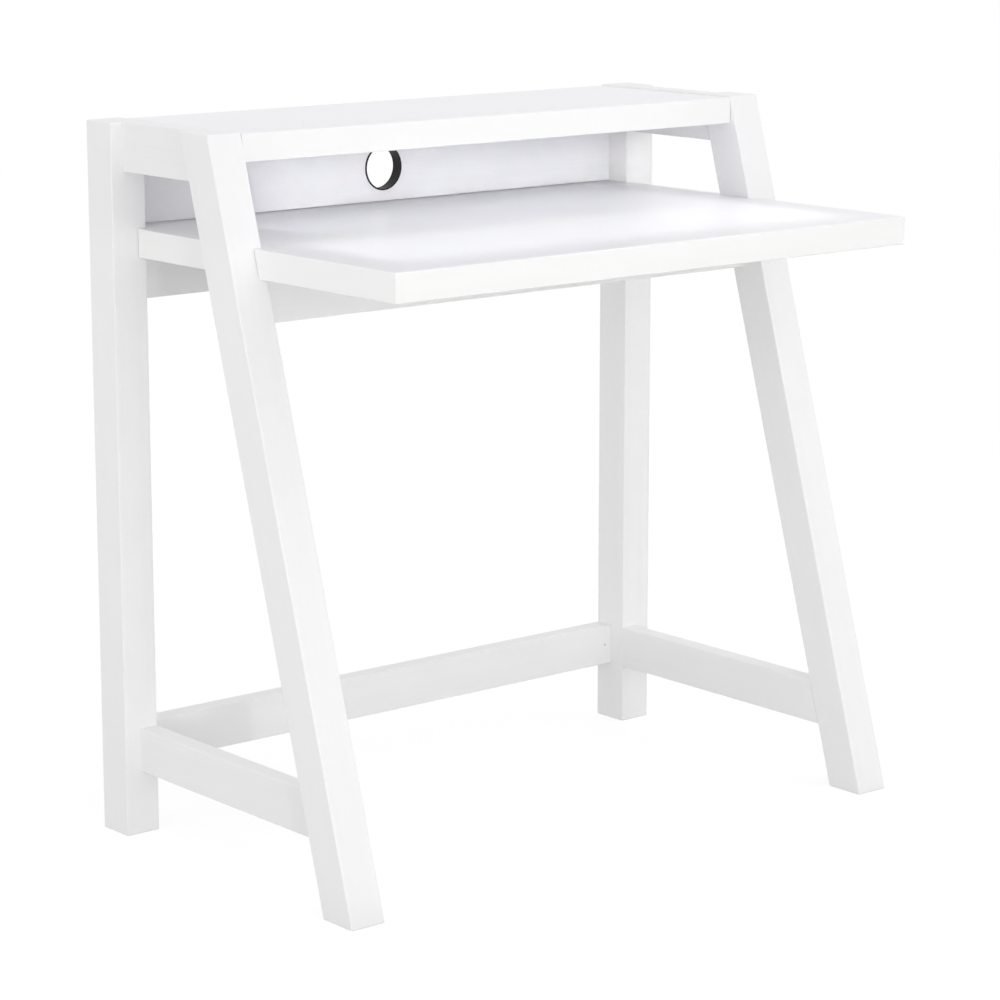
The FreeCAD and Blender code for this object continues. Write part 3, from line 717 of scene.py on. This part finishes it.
def separate_solids(node):
    """The corners of each separate solid of a grouped node, lowest X first."""
    mesh = bmesh.new()
    mesh.from_mesh(node.data)
    bmesh.ops.remove_doubles(mesh, verts=mesh.verts, dist=SAME_POINT)
    left = set(mesh.verts)
    solids = []
    while left:
        found = [left.pop()]
        for vert in found:
            around = {edge.other_vert(vert) for edge in vert.link_edges} & left
            found.extend(around)
            left -= around
        solids.append([vert.co.copy() for vert in found])
    mesh.free()
    return sorted(solids, key=low_corner)


def measured_screw(points):
    """Where a screw's head meets its bracket, the way it is driven, and its head and shank sizes."""
    low, high = points_box(points)
    size = high - low
    middle = (low + high) / 2
    axis = max(range(3), key=lambda i: size[i])
    across = [i for i in range(3) if i != axis]
    reaches = [math.hypot(*(p[i] - middle[i] for i in across)) for p in points]
    head_radius = max(reaches)
    head = [p[axis] for p, reach in zip(points, reaches) if reach > HEAD_REACH_SHARE * head_radius]
    shank = [reach for p, reach in zip(points, reaches) if not min(head) <= p[axis] <= max(head)]
    head_height = max(head) - min(head)
    head_is_low = min(head) - low[axis] < high[axis] - max(head)
    way = Vector((0, 0, 0))
    way[axis] = 1 if head_is_low else -1
    seat = middle.copy()
    seat[axis] = (low if head_is_low else high)[axis] + way[axis] * head_height
    sizes = {"Head Radius": head_radius, "Head Height": head_height, "Shank Radius": max(shank),
             "Shank Length": size[axis] - head_height}
    return seat, way, sizes


def object_of_seats(name, seats):
    """An object with one vertex at each seat, which carries the way that its screw is driven."""
    mesh = bpy.data.meshes.new(name)
    mesh.from_pydata([seat for seat, way in seats], [], [])
    ways = mesh.attributes.new("way", "FLOAT_VECTOR", "POINT")
    for item, (seat, way) in zip(ways.data, seats):
        item.vector = way
    made = bpy.data.objects.new(name, mesh)
    bpy.context.scene.collection.objects.link(made)
    return made


def screw_tree(material):
    """Puts a slotted pan-head screw on each point, driven along the point's way."""
    tree = bpy.data.node_groups.new("pan_head_screws", "GeometryNodeTree")
    tree.interface.new_socket("Geometry", in_out="INPUT", socket_type="NodeSocketGeometry")
    for name in SCREW_SIZES:
        size = tree.interface.new_socket(name, in_out="INPUT", socket_type="NodeSocketFloat")
        size.subtype = "DISTANCE"
    tree.interface.new_socket("Seed", in_out="INPUT", socket_type="NodeSocketInt")
    tree.interface.new_socket("Geometry", in_out="OUTPUT", socket_type="NodeSocketGeometry")
    given = add(tree, "NodeGroupInput").outputs

    # Sizes worked out from the given ones. The crown is the cap of a ball that has its rise over the
    # head's radius, and the slot's cutter is longer than the head and twice as high as it cuts
    sizes = {name: given[name] for name in SCREW_SIZES}
    worked = (
        ("disc lift", "MULTIPLY", "Head Height", -0.5),
        ("squared radius", "MULTIPLY", "Head Radius", "Head Radius"),
        ("doubled rise", "MULTIPLY", "Crown Rise", 2.0),
        ("halved rise", "MULTIPLY", "Crown Rise", 0.5),
        ("divided radius", "DIVIDE", "squared radius", "doubled rise"),
        ("ball radius", "ADD", "divided radius", "halved rise"),
        ("ball lift", "SUBTRACT", "ball radius", "Head Height"),
        ("slot length", "MULTIPLY", "Head Radius", 3.0),
        ("slot height", "MULTIPLY", "Slot Depth", 2.0),
        ("slot lift", "MULTIPLY", "Head Height", -1.0),
        ("shank lift", "MULTIPLY", "Shank Length", 0.5),
    )
    for name, operation, first, second in worked:
        inputs = {0: sizes.get(first, first), 1: sizes.get(second, second)}
        sizes[name] = add(tree, "ShaderNodeMath", inputs, operation=operation)

    # Solids along Z, lifted so that the head's underside is at 0 and the shank goes up
    cutter = add(tree, "ShaderNodeCombineXYZ", {
        "X": sizes["slot length"], "Y": sizes["Slot Width"], "Z": sizes["slot height"]})
    shapes = (
        ("disc", "GeometryNodeMeshCylinder", {
            "Vertices": HEAD_SIDES, "Radius": sizes["Head Radius"], "Depth": sizes["Head Height"]}),
        ("ball", "GeometryNodeMeshUVSphere", {
            "Segments": HEAD_SIDES, "Rings": BALL_RINGS, "Radius": sizes["ball radius"]}),
        ("slot", "GeometryNodeMeshCube", {"Size": cutter}),
        ("shank", "GeometryNodeMeshCylinder", {
            "Vertices": SHANK_SIDES, "Radius": sizes["Shank Radius"], "Depth": sizes["Shank Length"]}),
    )
    lifted = {}
    for name, kind, measures in shapes:
        shape = add(tree, kind, measures).outputs["Mesh"]
        lift = add(tree, "ShaderNodeCombineXYZ", {"Z": sizes[name + " lift"]})
        lifted[name] = add(tree, "GeometryNodeTransform", {"Geometry": shape, "Translation": lift})

    crowned = add(tree, "GeometryNodeMeshBoolean", {"Mesh": [lifted["disc"], lifted["ball"]]},
                  operation="INTERSECT", solver="EXACT")
    head = add(tree, "GeometryNodeMeshBoolean", {"Mesh 1": crowned, "Mesh 2": lifted["slot"]},
               operation="DIFFERENCE", solver="EXACT")
    screw = add(tree, "GeometryNodeJoinGeometry", {"Geometry": [head, lifted["shank"]]})
    bend = add(tree, "GeometryNodeInputMeshEdgeAngle")
    gentle = add(tree, "FunctionNodeCompare", {"A": bend, "B": SHARP_BEND}, operation="LESS_THAN")
    shaded = add(tree, "GeometryNodeSetShadeSmooth", {"Geometry": screw, "Shade Smooth": gentle},
                 domain="EDGE")

    way = add(tree, "GeometryNodeInputNamedAttribute", {"Name": "way"}, data_type="FLOAT_VECTOR")
    aimed = add(tree, "FunctionNodeAlignRotationToVector", {"Vector": way}, axis="Z")
    angle = add(tree, "FunctionNodeRandomValue", {"Max": math.pi, "Seed": given["Seed"]})
    turn = add(tree, "FunctionNodeAxisAngleToRotation", {"Axis": (0, 0, 1), "Angle": angle})
    turned = add(tree, "FunctionNodeRotateRotation", {"Rotation": aimed, "Rotate By": turn},
                 rotation_space="LOCAL")
    placed = add(tree, "GeometryNodeInstanceOnPoints", {
        "Points": given["Geometry"], "Instance": shaded, "Rotation": turned})
    real = add(tree, "GeometryNodeRealizeInstances", {"Geometry": placed})
    finished = add(tree, "GeometryNodeSetMaterial", {"Geometry": real, "Material": material})
    add(tree, "NodeGroupOutput", {"Geometry": finished})
    return tree


def apply_tree(made, tree, values):
    """Runs a node tree on an object with named values and keeps the result as a plain mesh."""
    modifier = made.modifiers.new(tree.name, "NODES")
    modifier.node_group = tree
    inputs = [item for item in tree.interface.items_tree if item.in_out == "INPUT"]
    identifiers = {item.name: item.identifier for item in inputs}
    for name, value in values.items():
        modifier[identifiers[name]] = value
    bpy.context.view_layer.update()
    evaluated = made.evaluated_get(bpy.context.evaluated_depsgraph_get())
    mesh = bpy.data.meshes.new_from_object(evaluated)
    made.modifiers.clear()
    made.data = mesh
    if not mesh.polygons:
        raise RuntimeError(f"{made.name} came out empty")


# Studio

def seen(tree):
    """1 for rays that show the surroundings in the picture, a gloss or glass, 0 for rays that light."""
    path = add(tree, "ShaderNodeLightPath").outputs
    shown = add(tree, "ShaderNodeMath", {0: path["Is Camera Ray"], 1: path["Is Glossy Ray"]},
                operation="MAXIMUM")
    return add(tree, "ShaderNodeMath", {0: shown, 1: path["Is Transmission Ray"]}, operation="MAXIMUM")


def make_floor(settings):
    """A white floor that keeps the desk's soft shadow."""
    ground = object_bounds()[0].z
    half = settings.floor_size / 2
    corners = [(-half, -half), (half, -half), (half, half), (-half, half)]
    mesh = bpy.data.meshes.new("studio_floor")
    mesh.from_pydata([(x, y, ground) for x, y in corners], [], [(0, 1, 2, 3)])
    floor = bpy.data.objects.new("studio_floor", mesh)
    bpy.context.scene.collection.objects.link(floor)
    material, tree = new_material("white_studio_floor")
    shade = settings.floor_shade
    # The surround falls evenly from the horizon up, and the floor sees two thirds of that fall
    mean_share = (1 + 2 * settings.overhead_share) / 3
    open_light = settings.surround_level * mean_share * min(settings.surround_colour)
    # The open floor then renders just white by the surround's light, without the lamps
    glow = add(tree, "ShaderNodeEmission", {"Strength": 1 - shade * open_light})
    shadowed = add(tree, "ShaderNodeBsdfDiffuse", {"Color": (shade, shade, shade, 1)})
    shown = add(tree, "ShaderNodeAddShader", {0: glow, 1: shadowed})
    bounce = add(tree, "ShaderNodeBsdfDiffuse", {"Color": (*settings.floor_colour, 1)})
    either = add(tree, "ShaderNodeMixShader", {0: seen(tree), 1: bounce, 2: shown})
    add(tree, "ShaderNodeOutputMaterial", {"Surface": either})
    mesh.materials.append(material)
    floor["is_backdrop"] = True


def make_surround(settings):
    """Soft light from all around, brighter low down than overhead, and a white background."""
    world = bpy.data.worlds.new("studio_surround")
    world.use_nodes = True
    tree = world.node_tree
    tree.nodes.clear()
    way = add(tree, "ShaderNodeTexCoord").outputs["Generated"]
    height = add(tree, "ShaderNodeSeparateXYZ", {"Vector": way}).outputs["Z"]
    overhead = settings.surround_level * settings.overhead_share
    level = add(tree, "ShaderNodeMapRange", {
        "Value": height, "To Min": settings.surround_level, "To Max": overhead})
    light = add(tree, "ShaderNodeBackground", {"Color": (*settings.surround_colour, 1), "Strength": level})
    white = add(tree, "ShaderNodeBackground", {"Color": (1, 1, 1, 1), "Strength": 1.0})
    either = add(tree, "ShaderNodeMixShader", {0: seen(tree), 1: light, 2: white})
    add(tree, "ShaderNodeOutputWorld", {"Surface": either})
    bpy.context.scene.world = world


def direction(azimuth, elevation):
    """Unit vector towards a place seen from the desk: azimuth 0 is in front, 90 on its right."""
    a, e = math.radians(azimuth), math.radians(elevation)
    return Vector((math.sin(a) * math.cos(e), -math.cos(a) * math.cos(e), math.sin(e)))


def desk_middle():
    """Middle of the desk's box."""
    low, high = Vector(PACKED_BOX[0]), Vector(PACKED_BOX[1])
    return (low + high) / 2


def point_at(made, place, target):
    """Puts a lamp or camera at a place and points it at a target."""
    made.location = place
    made.rotation_mode = "QUATERNION"
    made.rotation_quaternion = (target - place).to_track_quat("-Z", "Y")
    bpy.context.scene.collection.objects.link(made)


def add_lamp(name, place, target, width, height, energy, spread=math.pi):
    """Adds an area lamp that the camera doesn't see."""
    lamp = bpy.data.lights.new(name, "AREA")
    lamp.shape = "RECTANGLE"
    lamp.size = width
    lamp.size_y = height
    lamp.energy = energy
    lamp.spread = spread
    made = bpy.data.objects.new(name, lamp)
    made.visible_camera = False
    point_at(made, place, target)


def make_soft_lamps(settings):
    """Square soft lamps low in front, low on the left and high on the right."""
    # Name, azimuth and elevation in degrees, side in metres, level
    lamps = (
        ("front_lamp", -20, 8, 1.4, settings.front_level),
        ("left_lamp", -75, 12, 2.0, settings.left_level),
        ("right_lamp", 48, 50, 2.6, settings.right_level),
    )
    for name, azimuth, elevation, side, level in lamps:
        # A white surface that faces the lamp then renders at the level
        energy = level * math.pi ** 2 * SOFT_LAMP_DISTANCE ** 2
        place = desk_middle() + direction(azimuth, elevation) * SOFT_LAMP_DISTANCE
        add_lamp(name, place, desk_middle(), side, side, energy)


def make_narrow_lamps(settings):
    """Lamps in front with nearly parallel beams: three strips for the shelf's opening and the desktop,
    and a wide low one."""
    desktop_low, desktop_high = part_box("desktop")
    shelf_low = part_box("top_shelf")[0]
    # The strips aim a little off the middles: below, off the shelf's front, to the right, which is
    # darker, and to the rear, off the desktop's edge
    drop, rightwards, rearwards = 13 * MM, 30 * MM, 15 * MM
    opening = Vector((0, shelf_low.y, (shelf_low.z + desktop_high.z) / 2 - drop))
    rear_desktop = opening + Vector((rightwards, 0, 0))
    open_desktop = Vector((0, (desktop_low.y + shelf_low.y) / 2 + rearwards, desktop_high.z))
    below = Vector((0, 0, desktop_high.z / 2))
    # Name, target, azimuth and elevation in degrees, width, height, level
    lamps = (
        ("under_shelf_lamp", opening, -28, 2, 560 * MM, 60 * MM, settings.opening_level),
        ("desktop_rear_lamp", rear_desktop, 0, 20, 620 * MM, 52 * MM, settings.desktop_rear_level),
        ("desktop_front_lamp", open_desktop, 0, 28, 700 * MM, 100 * MM, settings.desktop_front_level),
        ("low_lamp", below, -20, 3, 1300 * MM, desktop_high.z, settings.low_level),
    )
    for name, target, azimuth, elevation, width, height, level in lamps:
        # A white surface across the beam then renders at the level
        energy = level * math.pi * width * height
        place = target + direction(azimuth, elevation) * NARROW_LAMP_DISTANCE
        add_lamp(name, place, target, width, height, energy, spread=BEAM_SPREAD)


def make_camera():
    """A long lens in front and to the left of the desk, a little above it."""
    camera = bpy.data.cameras.new("camera")
    camera.sensor_width = CAMERA_SENSOR
    camera.lens = CAMERA_LENS
    made = bpy.data.objects.new("camera", camera)
    target = desk_middle() + Vector(CAMERA_AIM)
    place = target + direction(CAMERA_AZIMUTH, CAMERA_ELEVATION) * CAMERA_DISTANCE
    point_at(made, place, target)
    bpy.context.scene.camera = made


# Sidebar

class DESK_PT_sidebar(bpy.types.Panel):
    """Buttons for each group of pieces and for the studio"""

    bl_idname = "DESK_PT_sidebar"
    bl_label = "Writing desk"
    bl_space_type = "VIEW_3D"
    bl_region_type = "UI"
    bl_category = "Desk"

    def draw(self, context):
        for operator in OPERATORS:
            self.layout.operator(operator.bl_idname)
        for name in SETTINGS:
            box = self.layout.box()
            group = getattr(context.scene, name)
            for prop in group.bl_rna.properties:
                if prop.identifier not in ("rna_type", "name"):
                    box.prop(group, prop.identifier)


OPERATORS = (
    DESK_OT_side_frames,
    DESK_OT_cross_members,
    DESK_OT_panels,
    DESK_OT_cable_lining,
    DESK_OT_dowels,
    DESK_OT_cam_fittings,
    DESK_OT_brackets,
    DESK_OT_bracket_screws,
    DESK_OT_studio,
)

SETTINGS = {
    "desk_lacquer": LacquerSettings,
    "desk_laminate": LaminateSettings,
    "desk_lining": LiningSettings,
    "desk_dowels": DowelSettings,
    "desk_metal": MetalSettings,
    "desk_screws": ScrewSettings,
    "desk_studio": StudioSettings,
}


def register():
    for settings in SETTINGS.values():
        bpy.utils.register_class(settings)
    for operator in OPERATORS:
        bpy.utils.register_class(operator)
    bpy.utils.register_class(DESK_PT_sidebar)
    for name, settings in SETTINGS.items():
        setattr(bpy.types.Scene, name, bpy.props.PointerProperty(type=settings))


def unregister():
    for name in SETTINGS:
        delattr(bpy.types.Scene, name)
    bpy.utils.unregister_class(DESK_PT_sidebar)
    for operator in reversed(OPERATORS):
        bpy.utils.unregister_class(operator)
    for settings in reversed(SETTINGS.values()):
        bpy.utils.unregister_class(settings)


def main():
    register()
    bpy.ops.desk.side_frames()
    bpy.ops.desk.cross_members()
    bpy.ops.desk.panels()
    bpy.ops.desk.cable_lining()
    bpy.ops.desk.dowels()
    bpy.ops.desk.cam_fittings()
    bpy.ops.desk.brackets()
    bpy.ops.desk.bracket_screws()
    bpy.ops.desk.studio()


if __name__ == "__main__":
    main()
